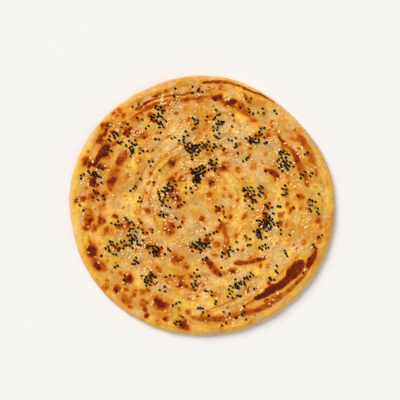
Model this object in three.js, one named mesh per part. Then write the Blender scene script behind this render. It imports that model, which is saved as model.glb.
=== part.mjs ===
// A paratha: a round flatbread fried on a griddle. A rope of layered dough is coiled up and rolled out
// flat, so the bread keeps the coil's gentle rise and fall, ridges where one turn laps over the next,
// and a rolled rim.
// Units are millimetres. +Z is up, the bread lies on Z = 0, and the middle of its outline is the origin.
// Clock angles are in degrees, clockwise from +Y, as on a dial seen from above.
import * as THREE from 'three';

// Driving dimensions
const WIDTH = 265; // across, along X
const DEPTH = 259.5; // across, along Y
const THICKNESS = 8.6; // the flat of the top above the table
const WAIST = 3.8; // height of the rim's widest line
const CROWN_RUN = 7; // how far in from the outline the top has rounded over
const FOOT_RUN = 4; // how far in from the outline the flat underside begins
const COIL_PITCH = 19; // from one turn of the coil to the next
const COIL_RISE = 0.35; // a turn's middle above the mean surface
const COIL_MIDDLE = 15; // the knot at the heart of the coil, which has no turns

// Fineness of the mesh
const AROUND = 96; // steps around the rim
const CORNER_STEPS = 4; // steps on each rounded edge
const RIM_ZONE = 0.24; // share of the radius, next to the rim, that holds the ridges
const RIM_ZONE_STEPS = 10;
const MIDDLE_STEPS = 15;

// Places where the rim sits inside a true ellipse: [clock angle, depth, half-width in degrees].
const DENTS = [
  [45, 4.5, 25], // the coil's outer end, tucked in and thinned out
  [330, 1.5, 20],
  [260, 1.5, 10],
];

// Ridges where one turn of the coil laps over the next. Each runs clockwise from one clock angle to another,
// while its share of the rim's radius goes evenly from the first value to the second.
const RIDGES = [
  { from: 325, to: 390, share: [0.92, 0.98], half: 3, rise: 0.6 }, // the outermost turn, along the top
  { from: 320, to: 390, share: [0.86, 0.8], half: 3, rise: 0.9 }, // the turn inside it
  { from: 45, to: 80, share: [0.82, 0.8], half: 3, rise: 0.9 },
  { from: 45, to: 75, share: [0.95, 0.9], half: 3, rise: 0.7 },
  { from: 110, to: 180, share: [0.94, 0.88], half: 3, rise: 0.7 },
  { from: 115, to: 155, share: [0.86, 0.82], half: 4.5, rise: 1.1 }, // the tallest lap, lower right
  { from: 270, to: 310, share: [0.88, 0.88], half: 3.5, rise: 0.9 },
];

const quarter = (i) => ((i / CORNER_STEPS) * Math.PI) / 2;

// The way from one clock angle to another, in degrees, from -180 to 180.
const turnBetween = (from, to) => THREE.MathUtils.euclideanModulo(to - from + 180, 360) - 180;

// The radius of the rim at a clock angle.
function rimRadius(clock) {
  const angle = THREE.MathUtils.degToRad(clock);
  const ellipse = 1 / Math.hypot(Math.sin(angle) / (WIDTH / 2), Math.cos(angle) / (DEPTH / 2));
  const dent = ([at, depth, half]) => depth * Math.exp(-((turnBetween(at, clock) / half) ** 2));
  return DENTS.reduce((radius, d) => radius - dent(d), ellipse);
}

// The side of a round bread with straight edges: from the middle of the underside, out to the rim,
// and back over the top to the middle.
function sideProfile() {
  const radius = WIDTH / 2;
  const points = [new THREE.Vector2(0, 0)];
  for (let i = 0; i <= CORNER_STEPS; i++) {
    const out = radius - FOOT_RUN * (1 - Math.sin(quarter(i)));
    points.push(new THREE.Vector2(out, WAIST * (1 - Math.cos(quarter(i)))));
  }
  for (let i = 1; i <= CORNER_STEPS; i++) {
    const out = radius - CROWN_RUN * (1 - Math.cos(quarter(i)));
    points.push(new THREE.Vector2(out, WAIST + (THICKNESS - WAIST) * Math.sin(quarter(i))));
  }
  const edge = radius - CROWN_RUN;
  const inner = radius * (1 - RIM_ZONE);
  for (let i = 1; i <= RIM_ZONE_STEPS; i++) {
    points.push(new THREE.Vector2(THREE.MathUtils.lerp(edge, inner, i / RIM_ZONE_STEPS), THICKNESS));
  }
  for (let i = 1; i <= MIDDLE_STEPS; i++) {
    points.push(new THREE.Vector2(inner * (1 - i / MIDDLE_STEPS), THICKNESS));
  }
  return points;
}

// The rise and fall of the coil: a spiral wave that fades out at the knot in the middle.
function coilHeight(radius, clock) {
  const turns = radius / COIL_PITCH - clock / 360;
  const outsideKnot = THREE.MathUtils.smoothstep(radius, COIL_MIDDLE, 3 * COIL_MIDDLE);
  return COIL_RISE * outsideKnot * Math.cos(2 * Math.PI * turns);
}

// The height that one ridge adds at a point, given by its radius and clock angle.
function ridgeHeight({ from, to, share, half, rise }, radius, rim, clock) {
  const along = THREE.MathUtils.euclideanModulo(clock - from, 360) / (to - from);
  if (along >= 1) return 0;
  const away = radius - THREE.MathUtils.lerp(share[0], share[1], along) * rim;
  const taper = Math.sin(Math.PI * along) ** 0.5;
  return rise * taper * Math.exp(-((away / half) ** 2));
}

// A solid bread: the profile turned about Z, then fitted to the uneven rim, with the relief added on top.
function breadGeometry() {
  const geometry = new THREE.LatheGeometry(sideProfile(), AROUND).rotateX(Math.PI / 2);
  const position = geometry.attributes.position;
  const point = new THREE.Vector3();
  for (let i = 0; i < position.count; i++) {
    point.fromBufferAttribute(position, i);
    const clock = THREE.MathUtils.radToDeg(Math.atan2(point.x, point.y));
    const rim = rimRadius(clock);
    const share = Math.hypot(point.x, point.y) / (WIDTH / 2);
    if (point.z > WAIST) {
      const onTop = (point.z - WAIST) / (THICKNESS - WAIST);
      const ridges = RIDGES.reduce((sum, ridge) => sum + ridgeHeight(ridge, share * rim, rim, clock), 0);
      point.z += onTop * (ridges + coilHeight(share * rim, clock));
    }
    const stretch = rim / (WIDTH / 2);
    position.setXYZ(i, point.x * stretch, point.y * stretch, point.z);
  }
  geometry.computeBoundingBox();
  const size = geometry.boundingBox.getSize(new THREE.Vector3());
  const middle = geometry.boundingBox.getCenter(new THREE.Vector3());
  geometry.translate(-middle.x, -middle.y, 0);
  geometry.scale(WIDTH / size.x, DEPTH / size.y, 1); // the dents took a little off the overall size
  geometry.computeVertexNormals();
  return geometry;
}

const friedDough = new THREE.MeshStandardMaterial({ color: 0xd89e4a, roughness: 0.55, metalness: 0 });

const paratha = new THREE.Mesh(breadGeometry(), friedDough);
paratha.name = 'paratha';

const bread = new THREE.Group();
bread.add(paratha);

export default bread;
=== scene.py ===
"""The looks of a paratha: a coiled flatbread fried on a griddle, strewn with nigella and sesame seeds.

Lengths are in millimetres and are turned into metres when a mesh is made. Clock angles are in degrees,
clockwise from +Y, as on a dial seen from above. A share is a distance from the middle of the bread,
as a part of the rim's distance on the same clock angle.
"""
import math

import bpy
import numpy as np
from mathutils import Euler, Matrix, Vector


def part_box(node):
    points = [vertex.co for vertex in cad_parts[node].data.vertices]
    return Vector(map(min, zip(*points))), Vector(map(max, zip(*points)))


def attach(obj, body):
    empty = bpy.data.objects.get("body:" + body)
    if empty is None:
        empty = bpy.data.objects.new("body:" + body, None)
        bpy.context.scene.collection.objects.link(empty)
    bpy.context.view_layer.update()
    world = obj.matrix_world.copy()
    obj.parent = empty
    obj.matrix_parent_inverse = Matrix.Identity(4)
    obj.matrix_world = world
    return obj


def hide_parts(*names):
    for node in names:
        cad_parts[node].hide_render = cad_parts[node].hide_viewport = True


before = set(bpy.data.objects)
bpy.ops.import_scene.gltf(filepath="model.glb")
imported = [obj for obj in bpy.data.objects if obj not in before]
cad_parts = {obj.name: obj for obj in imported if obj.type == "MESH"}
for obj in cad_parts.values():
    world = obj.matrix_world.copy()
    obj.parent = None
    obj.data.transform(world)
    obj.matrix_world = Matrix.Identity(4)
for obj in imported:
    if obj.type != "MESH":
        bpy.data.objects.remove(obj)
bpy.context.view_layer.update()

# ---- Sizes
MM = 0.001
LOW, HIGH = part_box("paratha")
WIDTH = (HIGH.x - LOW.x) / MM
DEPTH = (HIGH.y - LOW.y) / MM
RADIUS = (WIDTH + DEPTH) / 4
THICKNESS = 0.9 * (HIGH.z - LOW.z) / MM  # the flat of the top; the rest is ridges
WAIST = 0.44 * THICKNESS  # height of the rim's widest line
CROWN_RUN = 7.0  # how far in from the outline the top has rounded over
FOOT_RUN = 4.0  # how far in from the outline the flat underside begins
COIL_PITCH = 19.0  # from one turn of the coil to the next
COIL_RISE = 0.3  # a turn's middle above the mean surface
COIL_MIDDLE = 15.0  # the knot at the heart of the coil
LAP_RISE = 1.2  # where one turn laps over the next
LAP_EDGE = 0.1  # width of the lap's steep edge, as a part of a turn
LAP_WANDER = 0.16  # how far a lap strays, as a part of a turn
WRINKLE = 0.2  # height of the fine folds in the skin
MARK_RISE = 0.14  # height of a fully toasted mark, as a part of its half-width
RIM_GROOVE = 0.6  # depth of the shallow groove inside the rolled rim
LAYER = 2.4  # from one edge of the rolled layers to the next, on the side
LAYER_DEPTH = 0.26  # how far those edges stand out
UNDER_HOLLOW = 0.25  # depth of the shallow hollows in the underside

# ---- Fineness of the mesh
MIDDLE_STEP = 0.88
RIM_STEP = 0.78
RIM_ZONE = 0.74  # share from which the finer step is used
CROWN_STEP = 1.15 * RIM_STEP  # on the rounded edges of the top and of the underside
FOOT_STEP = 1.4 * RIM_STEP
UNDER_STEP = 2.6
CROWN_RINGS = 10
FOOT_RINGS = 7
TINY = 1e-6  # below this, two heights or distances are the same

# ---- Unevenness, as layers of soft noise: (amount, size, seed) of each
RIM_WOBBLE = [(0.3, 9, 3), (0.15, 4, 4)]
BUMPS = [(0.5, 34, 31), (0.6, 14, 32), (0.42, 6.5, 33), (0.12, 2.6, 34)]
LAPS_SHOWN = [(1.0, 38, 62), (0.3, 15, 63)]
LAYER_DRIFT = [(1.4, 26, 41), (0.4, 8, 44)]
FOLD_STRAY = [(1.0, 18, 15), (0.25, 7, 16)]
EDGE_WOBBLE_X = [(1.1, 9, 11), (0.55, 3.4, 12)]  # of the browned marks' edges
EDGE_WOBBLE_Y = [(1.1, 9, 13), (0.55, 3.4, 14)]
BROWNING_PATCHES = [(0.36, 7, 18), (0.28, 2.8, 19)]
UNDER_SPOTS = [(1.0, 11, 51), (0.6, 5, 52), (0.3, 2.5, 53)]
GOLD_PATCHES = [(0.65, 32, 21), (0.85, 13, 22), (0.9, 6, 25)]
AMBER_PATCHES = [(0.9, 26, 23), (0.85, 10, 24), (0.5, 4, 26)]

# ---- Outline
# Places where the rim sits inside a true ellipse: (clock, depth, half-width in degrees).
DENTS = [(45, 4.5, 25), (330, 1.5, 20), (260, 1.5, 10)]

# ---- Folds and browned marks
# Folds, creases and scars that follow the coil, clockwise from one clock angle to another. Share and
# half-width go evenly from their first value to their second. Toast is how browned it is, from 0 to 1; on
# the lip it is partly painted shade. Rise is its height.
FOLDS = [
    # from, to, share, half-width, toast, rise
    (0, 35, (0.94, 0.98), (1.7, 1.0), 0.85, -0.9),  # the crease where the coil's outer end is tucked in
    (325, 360, (0.89, 0.87), (0.8, 0.7), 0.9, -1.1),  # the lip along the upper left; its dark line is partly browning, partly painted shadow below the lip's edge
    (320, 390, (0.86, 0.8), (1.6, 3.0), 0.54, 0.6),  # the long ridge across the top
    (45, 80, (0.82, 0.82), (1.8, 2.8), 0.7, 0.8),  # the ridge on the right
    (50, 75, (0.94, 0.9), (3.0, 2.6), 0.48, 0.4),
    (110, 120, (0.93, 0.92), (2.4, 3.0), 0.92, 0.4),  # the outer arc: its scorched end, then the rest
    (120, 185, (0.94, 0.86), (1.8, 3.0), 0.56, 0.6),
    (120, 150, (0.86, 0.83), (5.2, 3.8), 1.0, 1.0),  # the great scar, lower right
    (290, 300, (0.86, 0.86), (1.8, 4.6), 0.95, 0.6),  # the scar on the left
    (280, 305, (0.7, 0.7), (4.4, 4.8), 0.68, 0.3),
    (60, 70, (0.56, 0.62), (1.8, 3.2), 0.74, 0.4),  # short folds nearer the middle
    (130, 150, (0.62, 0.5), (2.4, 2.8), 0.66, 0.4),
    (165, 175, (0.56, 0.42), (3.2, 3.0), 0.74, 0.4),
    (130, 155, (0.2, 0.4), (4.0, 3.8), 0.5, 0.3),
]
CREASES = 34  # faint short ones, anywhere; the light browning along them is partly painted shade in the crease
FOLD_STEP = 0.8  # from one point of a fold to the next
FOLD_WANDER = 1.5  # how far a long fold strays from an even run
LONG_FOLD = 60.0

# The largest browned marks: (clock, share, half-size, toast).
MARKS = [
    (240, 0.9, 7, 0.95), (225, 0.8, 5, 0.75), (225, 0.9, 4, 0.85), (205, 0.8, 5, 0.82), (205, 0.45, 6, 0.66),
    (235, 0.3, 7, 0.6), (255, 0.6, 4, 0.74), (285, 0.2, 5, 0.7), (310, 0.3, 5, 0.66), (325, 0.4, 5, 0.75),
    (330, 0.75, 3, 0.9), (320, 0.7, 4, 0.7), (310, 0.95, 5, 0.86), (180, 0.1, 3, 0.74), (20, 0.2, 5, 0.62),
    (30, 0.35, 5, 0.56), (85, 0.75, 4, 0.84), (155, 0.55, 4, 0.72),
]

# Smaller marks, strewn over a part of the bread: (from, to, share, count, half-size, toast). The share, the
# half-size and the toast are drawn between two values.
STREWN = [
    (245, 315, (0.8, 0.95), 34, (2.2, 5.4), (0.5, 0.92)),  # the left edge, which lay on the hottest iron
    (250, 290, (0.64, 0.8), 8, (2.4, 5.0), (0.5, 0.8)),
    (185, 235, (0.76, 0.96), 18, (2.4, 5.4), (0.5, 0.86)),
    (185, 240, (0.45, 0.7), 8, (2.6, 5.0), (0.45, 0.76)),
    (315, 345, (0.68, 0.97), 12, (1.8, 3.6), (0.4, 0.7)),
    (75, 105, (0.45, 0.7), 12, (2.0, 3.4), (0.4, 0.7)),
    (0, 60, (0.5, 0.92), 14, (2.0, 4.4), (0.25, 0.5)),
    (0, 360, (0.08, 0.5), 34, (1.6, 3.8), (0.38, 0.66)),
    (0, 360, (0.3, 0.92), 60, (1.8, 3.6), (0.3, 0.6)),
    (0, 360, (0.1, 0.95), 220, (1.0, 2.4), (0.25, 0.6)),  # freckles
    (345, 385, (0.8, 0.85), 12, (2.0, 3.4), (0.5, 0.8)),  # blotches on the long ridge
]
LARGE_MARK = 3.4  # half-size from which a mark has darker cores
CORES = 3
RING_MARK = 2.4  # half-size from which a smaller mark may be a ring, left by the edge of a bubble
RING_EVERY = 9  # about one in so many of them is
GLOW_REACH = 1.4  # how far the orange round a mark spreads, in half-sizes
SIDE_TOAST = 0.3  # toast of the layers' edges on the side
UNDER_TOAST = 0.75  # toast and glow of the darkest spots underneath
UNDER_GLOW = 0.9

# ---- Seeds and how they are strewn
# Handfuls of seeds, lying along the coil: (clock, share, half-length, half-width, black seeds).
HANDFULS = [
    (335, 0.75, 12, 9, 26), (350, 0.6, 8, 4, 12), (10, 0.65, 10, 3, 18), (30, 0.65, 9, 6, 26),
    (0, 0.45, 16, 3, 44), (350, 0.25, 8, 5, 30), (285, 0.82, 16, 7, 26), (310, 0.7, 9, 7, 14),
    (275, 0.3, 10, 7, 18), (295, 0.3, 9, 5, 16), (240, 0.55, 13, 9, 58), (245, 0.7, 8, 7, 14),
    (180, 0.3, 9, 5, 22), (85, 0.35, 8, 7, 20), (110, 0.5, 15, 5, 44), (155, 0.7, 14, 10, 32),
    (145, 0.4, 9, 6, 14), (215, 0.65, 9, 9, 18), (185, 0.55, 8, 4, 10), (60, 0.7, 16, 4, 34),
]
HANDFUL_LEAN = 14  # how far a handful may turn from the way the coil runs, in degrees
CLUMP = 5  # seeds in a clump, of which each handful has several
CLUMP_REACH = 4.5  # half the length of a clump
SEED_LIMIT = 0.94  # share beyond which no seed lies
GROUP_LIMIT = 0.93  # the same, for the middle of a little group
SEED_TRIES = 30  # places tried for a seed before it is left out
SCORCHED = 0.75  # toast from which no seed has stuck
SIZES_VARY = (0.86, 1.14)  # the smallest and the largest seed, as parts of the usual size
# For each kind: how much wider its handfuls are, how many seeds they hold for each one counted above,
# and how many little groups of one to three lie anywhere.
BLACK_STREWING = (1.0, 0.82, 150)
WHITE_STREWING = (1.3, 0.75, 220)
# For each kind: length and width, how far it is sunk in as a part of half its height, the least distance
# between two, and how wide a clump is as a part of its length.
BLACK_SIZE, BLACK_SUNK, BLACK_GAP, BLACK_SPREAD = (2.85, 2.45), 0.15, 2.2, 0.3
WHITE_SIZE, WHITE_SUNK, WHITE_GAP, WHITE_SPREAD = (2.7, 2.3), 0.35, 2.0, 0.8
# For each kind: how much its tip is thinned, its height as a part of its width, and how angular it is.
NIGELLA_SHAPE = (0.3, 0.85, 0.08)
SESAME_SHAPE = (0.5, 0.42, 0.0)

# ---- Colours, from 0 to 255 as they look on a screen
BEIGE_DOUGH = (225, 185, 121)
YELLOW_DOUGH = (240, 194, 76)
# ORANGE_DOUGH is orange dough, and along the laps' steep edges it is also painted shade in the seams
ORANGE_DOUGH = (222, 146, 30)
TAN_PATCH = (212, 162, 80)
TAN_GRAIN = (208, 150, 66)
PALE_FLECK = (248, 212, 134)
SIDE_DOUGH = (240, 188, 122)
GLOW_ORANGE = (224, 130, 22)
DIM, BRIGHT = (217, 195, 167), (286, 288, 296)  # what the dough is multiplied by; above 255 it brightens
BROWNS = [  # toast, colour
    (0.0, (228, 162, 58)), (0.16, (218, 142, 40)), (0.34, (202, 110, 22)), (0.52, (182, 84, 10)),
    (0.7, (158, 62, 5)), (0.86, (134, 46, 4)), (1.0, (98, 28, 3)),
]
BLACK_SKIN, BROWN_SKIN = (10, 7, 5), (26, 18, 12)
HULLS = [  # tone, colour
    (0.0, (252, 232, 180)), (0.3, (244, 214, 146)), (0.65, (232, 194, 118)), (1.0, (214, 168, 92)),
]
HULL_SPOTS = (226, 182, 112)
PALE_FLOOR = (243, 242, 240)

# ---- Floor, light and camera
FLOOR_SIZE = 8  # metres
FLOOR_GAP = 0.2  # so that the floor and the flat underside don't lie in one plane
HORIZON = (0.86, 0.86, 0.85)
ZENITH = (0.14, 0.14, 0.14)
ZENITH_FROM = 0.7  # height on the sky, from 0 to 1, above which it is as dim as at the zenith
LIGHTS = [  # name, the way toward it, degrees wide, strength
    ("key", (-0.62, 0.66, 0.82), 34, 2.8),
    ("fill", (0.7, -0.55, 1.0), 60, 0.75),
]
LENS, SENSOR = 100.0, 36.0  # the camera's focal length and width
VIEW_WIDTH = 1.51 * WIDTH  # what the camera sees at the bread
CAMERA_X, CAMERA_Y = -0.007 * WIDTH, 0.02 * DEPTH


# ---- Helpers
def smoothstep(value, low, high):
    t = np.clip((value - low) / (high - low), 0, 1)
    return t * t * (3 - 2 * t)


def turned(x, y, angle):
    """The vector x, y turned anticlockwise."""
    return x * math.cos(angle) - y * math.sin(angle), x * math.sin(angle) + y * math.cos(angle)


def soft_noise(x, y, size, seed):
    """Smooth noise from -1 to 1, with bumps about size across."""
    cells = 64
    lattice = np.random.default_rng(seed).uniform(-1, 1, (cells, cells))
    u, v = turned(x, y, seed * 0.7)
    u, v = u / size, v / size
    i, j = np.floor(u).astype(int), np.floor(v).astype(int)
    a, b = u - i, v - j
    a, b = a * a * (3 - 2 * a), b * b * (3 - 2 * b)

    def corner(di, dj):
        return lattice[(i + di) % cells, (j + dj) % cells]

    near = corner(0, 0) * (1 - a) + corner(1, 0) * a
    far = corner(0, 1) * (1 - a) + corner(1, 1) * a
    return near * (1 - b) + far * b


def layered_noise(x, y, layers):
    """Soft noises added up. Each layer is (amount, size, seed)."""
    return sum(amount * soft_noise(x, y, size, seed) for amount, size, seed in layers)


# ---- Places on the bread
def bare_rim(clock):
    """The rim's distance from the middle before it is fitted to the frame's box."""
    angle = np.radians(clock)
    rim = 1 / np.hypot(np.sin(angle) / (WIDTH / 2), np.cos(angle) / (DEPTH / 2))
    for at, depth, half in DENTS:
        away = (np.asarray(clock) - at + 180) % 360 - 180
        rim = rim - depth * np.exp(-((away / half) ** 2))
    x, y = RADIUS * np.sin(angle), RADIUS * np.cos(angle)
    return rim + layered_noise(x, y, RIM_WOBBLE)


def fitting():
    """Middle and scale that fit the rim to the frame's box."""
    clock = np.arange(0, 360, 0.25)
    rim = bare_rim(clock)
    x, y = rim * np.sin(np.radians(clock)), rim * np.cos(np.radians(clock))
    middle = np.array([x.max() + x.min(), y.max() + y.min()]) / 2
    scale = np.array([WIDTH / (x.max() - x.min()), DEPTH / (y.max() - y.min())])
    return middle, scale


MIDDLE, SCALE = fitting()


def place(clock, share):
    """The x and y of a clock angle and a share of the rim's distance."""
    angle = np.radians(clock)
    reach = share * bare_rim(clock)
    return (reach * np.sin(angle) - MIDDLE[0]) * SCALE[0], (reach * np.cos(angle) - MIDDLE[1]) * SCALE[1]


def dial(x, y):
    """The clock angle, the share and the distance from the middle of points at x and y."""
    u, v = x / SCALE[0] + MIDDLE[0], y / SCALE[1] + MIDDLE[1]
    clock = np.degrees(np.arctan2(u, v)) % 360
    reach = np.hypot(u, v)
    return clock, reach / bare_rim(clock), reach


# ---- Folds and marks as fields over the bread
def fold_path(start, end, shares, halves):
    """Points along a fold: x, y and half-width. It strays a little, and thins out at both ends."""
    length = math.radians(end - start) * RADIUS * max(shares)
    t = np.linspace(0, 1, round(length / FOLD_STEP))
    clock = start + t * (end - start)
    x, y = place(clock, shares[0] + t * (shares[1] - shares[0]))
    stray = FOLD_WANDER * min(1, length / LONG_FOLD) * layered_noise(x, y, FOLD_STRAY)
    outward = np.radians(clock)
    half = (halves[0] + t * (halves[1] - halves[0])) * (1.15 + 0.45 * soft_noise(x, y, 10, 17))
    half = half * (0.45 + 0.55 * np.sin(np.pi * t) ** 0.5)
    return x + stray * np.sin(outward), y + stray * np.cos(outward), half


def fold_distance(x, y, start, end, shares, halves):
    """Distance from points to a fold, in half-widths of the fold there."""
    px, py, half = fold_path(start, end, shares, halves)
    margin = 3 * half.max() + 4
    near = (x > px.min() - margin) & (x < px.max() + margin)
    near &= (y > py.min() - margin) & (y < py.max() + margin)
    away = np.full(x.shape, 9.0)
    away[near] = (np.hypot(x[near, None] - px, y[near, None] - py) / half).min(axis=1)
    return away


def all_folds():
    """The folds, and faint creases along the coil."""
    rng = np.random.default_rng(5)
    folds = list(FOLDS)
    for _ in range(CREASES):
        start, share = rng.uniform(0, 360), rng.uniform(0.3, 0.95)
        end = start + rng.uniform(8, 22) / share
        shares = (share, share + rng.uniform(-0.06, 0.06))
        half = rng.uniform(0.9, 1.5)
        # a faint crease's toast darkens it: partly browning, partly painted shade in the crease
        folds.append((start, end, shares, (half, half), rng.uniform(0.05, 0.35), rng.uniform(-0.8, -0.4)))
    return folds


def all_marks():
    """Every browned mark: (x, y, half-length, half-width, turn, toast, how pale its middle is)."""
    rng = np.random.default_rng(7)
    marks = []

    def add(clock, share, half, toast):
        x, y = place(clock, share)
        longer = rng.uniform(1.0, 1.45)
        turn = math.radians(rng.uniform(-40, 40) - clock)
        if half < LARGE_MARK:
            pale = 0.5 if half > RING_MARK and len(marks) % RING_EVERY == 0 else 0.0
            marks.append((x, y, half * longer, half / longer ** 0.5, turn, toast, pale))
            return
        marks.append((x, y, half * longer, half / longer ** 0.5, turn, 0.75 * toast, 0.0))
        for _ in range(CORES):
            dx, dy = rng.normal(0, 0.42 * half, 2)
            core = half * rng.uniform(0.3, 0.55)
            marks.append((x + dx, y + dy, 1.2 * core, core, turn, toast, 0.0))

    for mark in MARKS:
        add(*mark)
    for start, end, shares, count, halves, toasts in STREWN:
        for _ in range(count):
            share = math.sqrt(rng.uniform(shares[0] ** 2, shares[1] ** 2))
            add(rng.uniform(start, end), share, rng.uniform(*halves), rng.uniform(*toasts))
    return marks


ALL_FOLDS = all_folds()
ALL_MARKS = all_marks()


def mark_distance(x, y, cx, cy, long, short, turn):
    """Distance from points to the middle of a mark, in half-sizes."""
    u, v = turned(x - cx, y - cy, -turn)
    return np.hypot(u / long, v / short)


def wobbled(x, y):
    """Points moved a little, so that what is drawn round them has uneven edges."""
    return x + layered_noise(x, y, EDGE_WOBBLE_X), y + layered_noise(x, y, EDGE_WOBBLE_Y)


def browning(x, y):
    """Toast, the browned cores, and glow, the orange that spreads round them, from 0 to 1. On the lip and the
    faint creases, toast is partly painted shade.
    """
    patchy = 1 + layered_noise(x, y, BROWNING_PATCHES)
    x, y = wobbled(x, y)
    browned, dim = np.zeros(x.shape), np.ones(x.shape)
    fields = [(fold_distance(x, y, *path), toast, 0.0) for *path, toast, _ in ALL_FOLDS]
    fields += [(mark_distance(x, y, *mark), toast, pale) for *mark, toast, pale in ALL_MARKS]
    for q, toast, pale in fields:
        crispness = 2.8 + 7 * toast ** 3  # the more it is toasted, the sharper its edge
        middle = pale * (1 - smoothstep(q, 0.3, 0.75))
        browned += (toast * (1 - middle) * np.exp(-(q ** crispness))) ** 3
        dim *= 1 - min(1, 1.15 * toast) * np.exp(-((q / GLOW_REACH) ** 2))
    browned = browned ** (1 / 3)  # where marks overlap, the darkest counts most
    scorched = smoothstep(browned, 0.86, 0.96)
    return (browned * (patchy + 0.8 * (1 - patchy) * scorched)).clip(0, 1), 1 - dim


def under_browning(x, y):
    """Toast and glow of the underside: soft spots where it touched the iron."""
    spots = layered_noise(x, y, UNDER_SPOTS)
    return UNDER_TOAST * smoothstep(spots, 0.3, 1.1), UNDER_GLOW * smoothstep(spots, -0.1, 0.8)


def colour_patches(x, y):
    """Gold and amber, from 0 to 1, in soft patches. Gold turns beige dough yellow; amber turns it orange.
    Both gather on the rolled rim. Gold also follows the wrinkles. Amber also darkens the steep edges of the
    laps, as painted shade in the seams together with some browning."""
    clock, share, reach = dial(x, y)
    streaks = wrinkles(clock, reach)
    rim_band = np.exp(-(((share - 0.96) / 0.05) ** 2))
    gold = 0.5 + layered_noise(x, y, GOLD_PATCHES) + 0.4 * streaks + 0.3 * rim_band
    # amber along the laps' steep edges: painted shade in the seams, together with some browning
    amber = layered_noise(x, y, AMBER_PATCHES) + 0.5 * laps(x, y)[1]
    amber = amber + rim_band * (0.1 + 0.8 * streaks.clip(0, 1))
    return gold.clip(0, 1), amber.clip(0, 1)


# ---- Relief
def laps(x, y):
    """Where the coil's turns lap over each other: how high, from 0 to 1, and how near their edge.
    The steep edge looks inward. Laps show in some places and have sunk into the dough in others."""
    clock, share, reach = dial(x, y)
    turns = reach / COIL_PITCH - clock / 360 + LAP_WANDER * soft_noise(x, y, 30, 61)
    phase = turns % 1
    shown = smoothstep(layered_noise(x, y, LAPS_SHOWN), 0.0, 0.5)
    shown = shown * smoothstep(reach, COIL_MIDDLE, 2 * COIL_MIDDLE) * (1 - smoothstep(share, 0.86, 0.92))
    rise = smoothstep(phase, 0, LAP_EDGE) - phase
    edge = np.exp(-((np.minimum(phase, 1 - phase) / (0.5 * LAP_EDGE)) ** 2))
    return shown * rise, shown * edge


def wrinkles(clock, reach):
    """Fine folds in the skin, from -1 to 1, drawn out along the coil."""
    around = np.radians(clock) * RADIUS
    fine = soft_noise(reach * 3.2, around * 0.55, 9, 36)
    return np.sign(fine) * np.abs(fine) ** 0.7 * smoothstep(reach, COIL_MIDDLE, 3 * COIL_MIDDLE)


def relief(x, y):
    """Height of the top above its mean surface."""
    clock, share, reach = dial(x, y)
    turns = reach / COIL_PITCH - clock / 360
    height = COIL_RISE * smoothstep(reach, COIL_MIDDLE, 3 * COIL_MIDDLE) * np.cos(2 * np.pi * turns)
    height = height + layered_noise(x, y, BUMPS) + LAP_RISE * laps(x, y)[0]
    height = height + WRINKLE * (1 + 2 * smoothstep(share, 0.86, 0.94)) * wrinkles(clock, reach)
    groove = RIM_GROOVE * (0.7 + 0.5 * soft_noise(x, y, 22, 35))
    height = height - groove * np.exp(-(((share - 0.92) / 0.022) ** 2))
    for *path, _, rise in ALL_FOLDS:
        height = height + rise * np.exp(-(fold_distance(x, y, *path) ** 2) / 1.6)
    for cx, cy, long, short, turn, toast, _ in ALL_MARKS:
        q = mark_distance(x, y, cx, cy, long, short, turn)
        height = height + MARK_RISE * min(long, short) * toast * (1 - smoothstep(q, 0.2, 1.25))
    return height


def top_base(inset):
    """Height of the top's mean surface at a distance in from the rim."""
    run = (inset / CROWN_RUN).clip(0, 1)
    return WAIST + (THICKNESS - WAIST) * np.sqrt(1 - (1 - run) ** 2)


def top_height(x, y):
    """Height of the finished top at x and y."""
    share = dial(x, y)[1]
    base = top_base(RADIUS * (1 - share))
    on_top = ((base - WAIST) / (THICKNESS - WAIST)).clip(0, 1)
    return base + on_top * relief(x, y)


# ---- The bread's mesh
def ring_plan():
    """Rings from the middle of the top, over the rim, to the middle of the underside:
    (inset from the rim, height, spacing of points, distance from the middle of the top along the surface,
    whether it is on the underside)."""
    rings = []
    reach = 0.0
    while reach < RADIUS - CROWN_RUN - RIM_STEP / 2:
        step = MIDDLE_STEP if reach < RIM_ZONE * RADIUS else RIM_STEP
        rings.append((RADIUS - reach, THICKNESS, step, reach, False))
        reach += step
    unrolled = RADIUS - CROWN_RUN
    last = (CROWN_RUN, THICKNESS)
    for i in range(CROWN_RINGS + 1):
        angle = math.pi / 2 * (1 - i / CROWN_RINGS)
        here = (CROWN_RUN * (1 - math.cos(angle)), WAIST + (THICKNESS - WAIST) * math.sin(angle))
        unrolled += math.dist(here, last)
        rings.append((*here, CROWN_STEP, unrolled, False))
        last = here
    for i in range(1, FOOT_RINGS + 1):
        angle = math.pi / 2 * (1 - i / FOOT_RINGS)
        here = (FOOT_RUN * (1 - math.sin(angle)), WAIST * (1 - math.cos(angle)))
        unrolled += math.dist(here, last)
        rings.append((*here, FOOT_STEP, unrolled, False))
        last = here
    reach = RADIUS - FOOT_RUN - UNDER_STEP
    while reach > 0:
        rings.append((RADIUS - reach, 0.0, UNDER_STEP, unrolled + UNDER_STEP, True))
        reach -= UNDER_STEP
    rings.append((RADIUS, 0.0, UNDER_STEP, unrolled, True))
    return rings


def stitch(first_a, count_a, first_b, count_b):
    """Triangles between two rings of points that start at the same angle and run clockwise. They look up
    where the second ring is the wider one, and down where it is the narrower one."""
    if count_a == 1:
        return [(first_a, first_b + (j + 1) % count_b, first_b + j) for j in range(count_b)]
    if count_b == 1:
        return [(first_a + i, first_a + (i + 1) % count_a, first_b) for i in range(count_a)]
    faces = []
    i = j = 0
    while i < count_a or j < count_b:
        a, b = first_a + i % count_a, first_b + j % count_b
        if j == count_b or (i < count_a and (i + 1) / count_a <= (j + 1) / count_b):
            faces.append((a, first_a + (i + 1) % count_a, b))
            i += 1
        else:
            faces.append((a, first_b + (j + 1) % count_b, b))
            j += 1
    return faces


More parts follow.
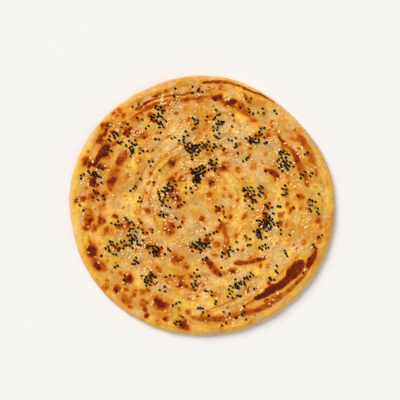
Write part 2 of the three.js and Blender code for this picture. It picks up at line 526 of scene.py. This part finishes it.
def side_relief(clock, height):
    """How far the side stands out: the edges of the rolled layers, as soft uneven grooves."""
    around = np.radians(clock)
    x, y = RADIUS * np.sin(around), RADIUS * np.cos(around)
    drift = layered_noise(x, y, LAYER_DRIFT)
    depth = LAYER_DEPTH + 0.2 * soft_noise(x, y, 15, 42)
    grooves = np.cos(2 * np.pi * (height + drift) / LAYER) * depth
    return grooves + 0.2 * soft_noise(x + 7 * height, y, 6, 43)


def ring_points(inset, height, spacing, below):
    """The clock angles and the points, in mm, of one ring."""
    reach = RADIUS - inset
    count = max(6, round(2 * math.pi * reach / spacing)) if reach > TINY else 1
    clock = np.arange(count) * 360 / count
    x, y = place(clock, reach / RADIUS)
    z = np.full(count, height)
    if height > WAIST + TINY:
        z = top_height(x, y)
    if height < THICKNESS and not below:
        out = 1 + side_relief(clock, height) / RADIUS * math.sin(math.pi * height / THICKNESS)
        x, y = x * out, y * out
    if below and count > 1:
        hollow = UNDER_HOLLOW * np.maximum(0, soft_noise(x, y, 11, 45))
        z = hollow * smoothstep(inset, FOOT_RUN, 3 * FOOT_RUN)
    return clock, np.stack([x, y, z], axis=1)


def bread_points(rings):
    """Points of the bread, how many each ring has, their unrolled places, and which are on the underside."""
    points, counts, unrolled, under = [], [], [], []
    for inset, height, spacing, flat, below in rings:
        clock, ring = ring_points(inset, height, spacing, below)
        around = np.radians(clock)
        points.append(ring)
        counts.append(len(ring))
        unrolled.append(flat * np.stack([np.sin(around), np.cos(around)], axis=1))
        under.append(np.full(len(ring), below))
    return np.concatenate(points), counts, np.concatenate(unrolled), np.concatenate(under)


def new_piece(name, points, faces):
    """A smooth mesh object, from points in mm, that rides on the bread's body."""
    mesh = bpy.data.meshes.new(name)
    mesh.from_pydata((points * MM).tolist(), [], faces)
    mesh.polygons.foreach_set("use_smooth", np.ones(len(mesh.polygons), bool))
    mesh.update()
    piece = bpy.data.objects.new(name, mesh)
    bpy.context.scene.collection.objects.link(piece)
    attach(piece, "root")
    return piece


def add_attribute(piece, name, values):
    attribute = piece.data.attributes.new(name, "FLOAT", "POINT")
    attribute.data.foreach_set("value", np.asarray(values, np.float32))


def add_bake_map(piece, points, unrolled, under):
    """A UV map with the top and side as one large disc, and the underside as a smaller one."""
    top_size, under_size = 0.8, 0.36
    top_reach = np.hypot(*unrolled.T).max() * 1.01
    under_reach = RADIUS * 1.05
    top = 0.5 * top_size * (1 + unrolled / top_reach)
    bottom = 1 - 0.5 * under_size * (1 + points[:, :2] / under_reach)
    corners = np.array([loop.vertex_index for loop in piece.data.loops]).reshape(-1, 3)
    below = under[corners].any(axis=1)[:, None, None]
    places = np.where(below, bottom[corners], top[corners])
    piece.data.uv_layers.new(name="OFBake").data.foreach_set("uv", places.ravel())


def add_looks(bread, points, unrolled, under):
    """What the dough's material reads at each point, from 0 to 1."""
    x, y, z = points.T
    toast, glow = browning(x, y)
    under_toast, under_glow = under_browning(x, y)
    gold, amber = colour_patches(x, y)
    clock, share, _ = dial(x, y)
    above = smoothstep(z, WAIST, THICKNESS - 1.0)  # browning keeps to the top, which lay on the iron
    side = 1 - smoothstep(z, 0.5 * WAIST, THICKNESS - 0.6)
    streaks = smoothstep(wrinkles(clock, np.hypot(*unrolled.T)), 0.1, 1.0)
    toast = toast * above + SIDE_TOAST * side * streaks
    add_attribute(bread, "toast", np.where(under, under_toast, toast))
    add_attribute(bread, "glow", np.where(under, under_glow, glow * above))
    add_attribute(bread, "gold", gold)
    # amber: orange patches, and painted shade along the laps' steep edges
    add_attribute(bread, "amber", amber * above)
    add_attribute(bread, "side", side)
    add_attribute(bread, "rim", smoothstep(share, 0.9, 0.96))


def make_bread():
    points, counts, unrolled, under = bread_points(ring_plan())
    faces = []
    first = 0
    for count, following in zip(counts, counts[1:]):
        faces += stitch(first, count, first + count, following)
        first += count
    bread = new_piece("bread", points, faces)
    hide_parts("paratha")
    add_bake_map(bread, points, unrolled, under)
    add_looks(bread, points, unrolled, under)
    return bread


# ---- The seeds' meshes
def seed_shape(taper, flat, corners):
    """A seed one unit long, along x: points and triangles. Taper thins its tip; corners make it angular."""
    around, along = 8, 6
    points = [(-0.5, 0, 0)]
    for i in range(1, along):
        t = i / along
        x = -0.5 * math.cos(math.pi * t)
        swell = math.sin(math.pi * t) ** 0.8 * (1 - taper * (x + 0.5))
        for j in range(around):
            angle = 2 * math.pi * j / around
            r = 0.5 * swell * (1 + corners * math.cos(3 * angle))
            points.append((x, r * math.cos(angle), flat * r * math.sin(angle)))
    points.append((0.5, 0, 0))
    last = len(points) - 1
    faces = []
    for j in range(around):
        k = (j + 1) % around
        faces.append((0, 1 + k, 1 + j))
        faces.append((last, last - around + j, last - around + k))
        for i in range(along - 2):
            a, b = 1 + i * around, 1 + (i + 1) * around
            faces.append((a + j, a + k, b + j))
            faces.append((a + k, b + k, b + j))
    return np.array(points), np.array(faces)


def seed_clumps(rng, wider, filling, groups):
    """Clumps of seeds: (x, y, turn, half-length, count)."""
    clumps = []
    for clock, share, long, short, count in HANDFULS:
        cx, cy = place(clock, share)
        turn = math.radians(rng.uniform(-HANDFUL_LEAN, HANDFUL_LEAN) - clock)
        parts = max(2, round(count / CLUMP))
        for size in rng.multinomial(round(filling * count), rng.dirichlet(np.full(parts, 2.0))):
            u, v = wider * rng.normal(0, 0.6, 2).clip(-1.4, 1.4) * (long, short)
            dx, dy = turned(u, v, turn)
            lean = turn + rng.normal(0, 0.8)
            clumps.append((cx + dx, cy + dy, lean, CLUMP_REACH * rng.uniform(0.5, 2), size))
    for _ in range(groups):
        x, y = place(rng.uniform(0, 360), GROUP_LIMIT * math.sqrt(rng.uniform(0.01, 1)))
        clumps.append((x, y, rng.uniform(0, math.pi), CLUMP_REACH, rng.integers(1, 4)))
    return clumps


def scatter(rng, clumps, gap, spread, taken=()):
    """A place for each seed of the clumps. No two are closer than gap, and none lie on a scorched place.
    Spread is how wide a clump is, as a part of its length. Each failed try makes the clump a little wider."""
    filled = [tuple(p) for p in taken]
    kept = []
    for cx, cy, turn, reach, count in clumps:
        for _ in range(count):
            for attempt in range(SEED_TRIES):
                wider = 1 + attempt / 20
                u, v = wider * reach * rng.uniform(-1, 1), wider * rng.normal(0, spread * reach)
                dx, dy = turned(u, v, turn)
                x, y = cx + dx, cy + dy
                if dial(x, y)[1] < SEED_LIMIT and all(math.hypot(x - a, y - b) > gap for a, b in filled):
                    filled.append((x, y))
                    kept.append((x, y))
                    break
    kept = np.array(kept)
    return kept[browning(*kept.T)[0] < SCORCHED]


def make_seeds(name, rng, places, shape, size, sunk):
    """One piece with a seed at each place, lying on the bread. Size is (length, width)."""
    points, faces = shape
    x, y = places.T
    base = top_height(x, y)
    slope_x = (top_height(x + 1, y) - top_height(x - 1, y)) / 2
    slope_y = (top_height(x, y + 1) - top_height(x, y - 1)) / 2
    all_points, all_faces, tones = [], [], []
    for i, (px, py, pz) in enumerate(zip(x, y, base)):
        length, width = np.array(size) * rng.uniform(*SIZES_VARY, 2)
        yaw, roll, pitch = rng.uniform(0, 2 * math.pi), rng.uniform(-0.5, 0.5), rng.uniform(-0.16, 0.16)
        p = points * (length, width, width)
        p = p @ np.array(Euler((roll, pitch, yaw)).to_matrix()).T
        lift = -p[:, 2].min() * (1 - sunk)
        p[:, 2] += pz + lift + p[:, 0] * slope_x[i] + p[:, 1] * slope_y[i]
        p[:, 0] += px
        p[:, 1] += py
        all_points.append(p)
        all_faces.append(faces + i * len(points))
        tones.append(np.full(len(points), rng.uniform(0, 1)))
    piece = new_piece(name, np.concatenate(all_points), np.concatenate(all_faces).tolist())
    add_attribute(piece, "tone", np.concatenate(tones))
    return piece


# ---- Materials
class Nodes:
    """A short way to write a material's node tree."""

    def __init__(self, name, specular=0.3):
        self.material = bpy.data.materials.new(name)
        self.material.use_nodes = True
        self.tree = self.material.node_tree
        self.shader = self.tree.nodes["Principled BSDF"]
        self.shader.inputs["Specular IOR Level"].default_value = specular
        self.place = self.tree.nodes.new("ShaderNodeTexCoord").outputs["Object"]

    def link(self, source, socket):
        if hasattr(source, "is_output"):
            self.tree.links.new(source, socket)
        else:
            socket.default_value = source

    def attribute(self, name):
        node = self.tree.nodes.new("ShaderNodeAttribute")
        node.attribute_name = name
        return node.outputs["Fac"]

    def noise(self, size, detail=2.0, roughness=0.5):
        """Noise from 0 to 1 with features about size mm across."""
        node = self.tree.nodes.new("ShaderNodeTexNoise")
        node.inputs["Scale"].default_value = 1 / (size * MM)
        node.inputs["Detail"].default_value = detail
        node.inputs["Roughness"].default_value = roughness
        self.link(self.place, node.inputs["Vector"])
        return node.outputs["Fac"]

    def math(self, operation, *values, clamp=False):
        node = self.tree.nodes.new("ShaderNodeMath")
        node.operation = operation
        node.use_clamp = clamp
        for socket, value in zip(node.inputs, values):
            self.link(value, socket)
        return node.outputs[0]

    def span(self, value, low, high, to_low=0.0, to_high=1.0):
        """value carried from low..high to to_low..to_high, held at the ends."""
        node = self.tree.nodes.new("ShaderNodeMapRange")
        for socket, v in zip(node.inputs, (value, low, high, to_low, to_high)):
            self.link(v, socket)
        return node.outputs[0]

    def ramp(self, value, stops):
        """A colour ramp through (position, colour) stops."""
        node = self.tree.nodes.new("ShaderNodeValToRGB")
        elements = node.color_ramp.elements
        while len(elements) < len(stops):
            elements.new(0.5)
        for element, (position, colour) in zip(elements, stops):
            element.position = position
            element.color = srgb(colour)
        self.link(value, node.inputs["Fac"])
        return node.outputs["Color"]

    def mix(self, share, a, b, blend="MIX"):
        node = self.tree.nodes.new("ShaderNodeMix")
        node.data_type = "RGBA"
        node.blend_type = blend
        self.link(share, node.inputs["Factor"])
        for name, value in (("A", a), ("B", b)):
            socket = next(s for s in node.inputs if s.name == name and s.type == "RGBA")
            self.link(value if hasattr(value, "is_output") else srgb(value), socket)
        return next(s for s in node.outputs if s.type == "RGBA")

    def bump(self, height, strength, distance):
        node = self.tree.nodes.new("ShaderNodeBump")
        node.inputs["Strength"].default_value = strength
        node.inputs["Distance"].default_value = distance * MM
        self.link(height, node.inputs["Height"])
        self.link(node.outputs["Normal"], self.shader.inputs["Normal"])


def srgb(colour):
    """A display colour, as 0 to 255, made linear."""
    linear = [c / 12.92 if c <= 0.04045 else ((c + 0.055) / 1.055) ** 2.4 for c in (v / 255 for v in colour)]
    return (*linear, 1.0)


def dough_shade(m, inside_rim):
    """Broad, close and fine light and dark, by which the dough is multiplied. The rim has less of it."""
    broad = m.span(m.noise(26.0), 0.3, 0.7, 0.74, 1.16)
    close = m.span(m.noise(8.0, 3.0), 0.3, 0.7, 0.86, 1.1)
    fine = m.span(m.noise(3.2, 2.0), 0.3, 0.7, 0.88, 1.1)
    shade = m.math("MULTIPLY", m.math("MULTIPLY", broad, close), fine)
    shade = m.math("ADD", m.math("MULTIPLY", m.math("SUBTRACT", shade, 1.0), inside_rim), 1.0)
    return m.mix(m.span(shade, 0.6, 1.3), DIM, BRIGHT)


def plain_dough(m, grain, patch, fleck):
    """The colour of the dough where it isn't browned."""
    gold, amber, side, rim = (m.attribute(name) for name in ("gold", "amber", "side", "rim"))
    inside_rim = m.span(rim, 0.0, 1.0, 1.0, 0.3)
    colour = m.mix(gold, BEIGE_DOUGH, YELLOW_DOUGH)
    # amber turns the dough orange, in patches and as painted shade along the laps' steep edges
    colour = m.mix(m.math("MULTIPLY", amber, m.span(patch, 0.35, 0.65, 0.4, 1.6)), colour, ORANGE_DOUGH)
    colour = m.mix(m.math("MULTIPLY", m.span(patch, 0.5, 0.66, 0.0, 0.6), inside_rim), colour, TAN_PATCH)
    colour = m.mix(m.span(grain, 0.48, 0.66, 0.0, 0.55), colour, TAN_GRAIN)
    colour = m.mix(m.span(fleck, 0.55, 0.68, 0.0, 0.55), colour, PALE_FLECK)
    colour = m.mix(m.math("MULTIPLY", side, 0.8), colour, SIDE_DOUGH)
    return m.mix(1.0, colour, dough_shade(m, inside_rim), "MULTIPLY")


def browned_share(m, grain, fleck):
    """How browned the dough is, from 0 to 1, with the mottling of its grain."""
    toast = m.attribute("toast")
    mottle = m.math("SUBTRACT", m.math("ADD", fleck, grain), 1.0)
    uneven = m.math("MULTIPLY", mottle, m.span(toast, 0.02, 0.4, 0.0, 0.65))
    return m.math("ADD", toast, uneven, clamp=True)


def dough_material():
    m = Nodes("fried_dough", specular=0.06)
    grain = m.noise(1.7, 3.0, 0.6)
    patch = m.noise(6.0, 3.0, 0.6)
    fleck = m.noise(2.6, 2.0)
    orange = m.math("MULTIPLY", m.attribute("glow"), m.span(patch, 0.3, 0.6, 0.6, 1.3), clamp=True)
    dough = m.mix(orange, plain_dough(m, grain, patch, fleck), GLOW_ORANGE)
    browned = browned_share(m, grain, fleck)
    colour = m.mix(m.span(browned, 0.03, 0.2), dough, m.ramp(browned, BROWNS))
    m.link(colour, m.shader.inputs["Base Color"])
    m.link(m.span(patch, 0.3, 0.7, 0.48, 0.62), m.shader.inputs["Roughness"])
    m.bump(m.math("ADD", m.math("ADD", grain, patch), m.noise(0.7, 2.0)), 0.55, 0.4)
    return m.material


def black_seed_material():
    m = Nodes("black_seed", specular=0.1)
    skin = m.noise(0.5, 3.0, 0.6)
    m.link(m.mix(m.span(skin, 0.4, 0.7, 0.0, 0.6), BLACK_SKIN, BROWN_SKIN), m.shader.inputs["Base Color"])
    m.link(m.span(skin, 0.3, 0.7, 0.42, 0.62), m.shader.inputs["Roughness"])
    m.bump(skin, 0.5, 0.15)
    return m.material


def white_seed_material():
    m = Nodes("white_seed")
    skin = m.noise(0.6, 2.0)
    hull = m.ramp(m.attribute("tone"), HULLS)
    m.link(m.mix(m.span(skin, 0.4, 0.7, 0.0, 0.35), hull, HULL_SPOTS), m.shader.inputs["Base Color"])
    m.link(m.span(skin, 0.3, 0.7, 0.42, 0.56), m.shader.inputs["Roughness"])
    m.bump(skin, 0.3, 0.08)
    return m.material


# ---- The scene round the bread
def make_floor():
    bpy.ops.mesh.primitive_plane_add(size=FLOOR_SIZE)
    floor = bpy.context.object
    floor.name = "floor"
    floor.location.z = -FLOOR_GAP * MM
    m = Nodes("pale_floor")
    m.shader.inputs["Base Color"].default_value = srgb(PALE_FLOOR)
    m.shader.inputs["Roughness"].default_value = 0.9
    floor.data.materials.append(m.material)


def make_sky():
    """A pale horizon and a dim top, so that nothing bright is mirrored in the bread from straight above."""
    world = bpy.data.worlds.new("studio")
    bpy.context.scene.world = world
    world.use_nodes = True
    nodes, links = world.node_tree.nodes, world.node_tree.links
    direction = nodes.new("ShaderNodeTexCoord").outputs["Generated"]
    split = nodes.new("ShaderNodeSeparateXYZ")
    shade = nodes.new("ShaderNodeValToRGB")
    shade.color_ramp.elements[0].color = (*HORIZON, 1)
    shade.color_ramp.elements[1].color = (*ZENITH, 1)
    shade.color_ramp.elements[1].position = ZENITH_FROM
    links.new(direction, split.inputs[0])
    links.new(split.outputs["Z"], shade.inputs["Fac"])
    links.new(shade.outputs["Color"], nodes["Background"].inputs["Color"])


def make_lights():
    """A pale sky, a soft light from the upper left, and a weaker one across from it."""
    make_sky()
    for name, toward, softness, strength in LIGHTS:
        lamp = bpy.data.lights.new(name, "SUN")
        lamp.angle = math.radians(softness)
        lamp.energy = strength
        light = bpy.data.objects.new(name, lamp)
        light.rotation_euler = Vector(toward).to_track_quat("Z", "Y").to_euler()
        bpy.context.scene.collection.objects.link(light)


def make_camera():
    """Looks straight down on the bread, which lies a little right of and below the middle of the view."""
    camera = bpy.data.objects.new("camera", bpy.data.cameras.new("camera"))
    camera.data.lens = LENS
    camera.data.sensor_width = SENSOR
    height = VIEW_WIDTH * LENS / SENSOR + THICKNESS / 2
    camera.location = (CAMERA_X * MM, CAMERA_Y * MM, height * MM)
    bpy.context.scene.collection.objects.link(camera)
    bpy.context.scene.camera = camera


# ---- Put together
bread = make_bread()
bread.data.materials.append(dough_material())

rng = np.random.default_rng(20)
black_places = scatter(rng, seed_clumps(rng, *BLACK_STREWING), BLACK_GAP, BLACK_SPREAD)
white_places = scatter(rng, seed_clumps(rng, *WHITE_STREWING), WHITE_GAP, WHITE_SPREAD, taken=black_places)

nigella, sesame = seed_shape(*NIGELLA_SHAPE), seed_shape(*SESAME_SHAPE)
black = make_seeds("black_seeds", rng, black_places, nigella, BLACK_SIZE, BLACK_SUNK)
black.data.materials.append(black_seed_material())
white = make_seeds("white_seeds", rng, white_places, sesame, WHITE_SIZE, WHITE_SUNK)
white.data.materials.append(white_seed_material())

make_floor()
make_lights()
make_camera()
bpy.context.scene.view_settings.view_transform = "Standard"
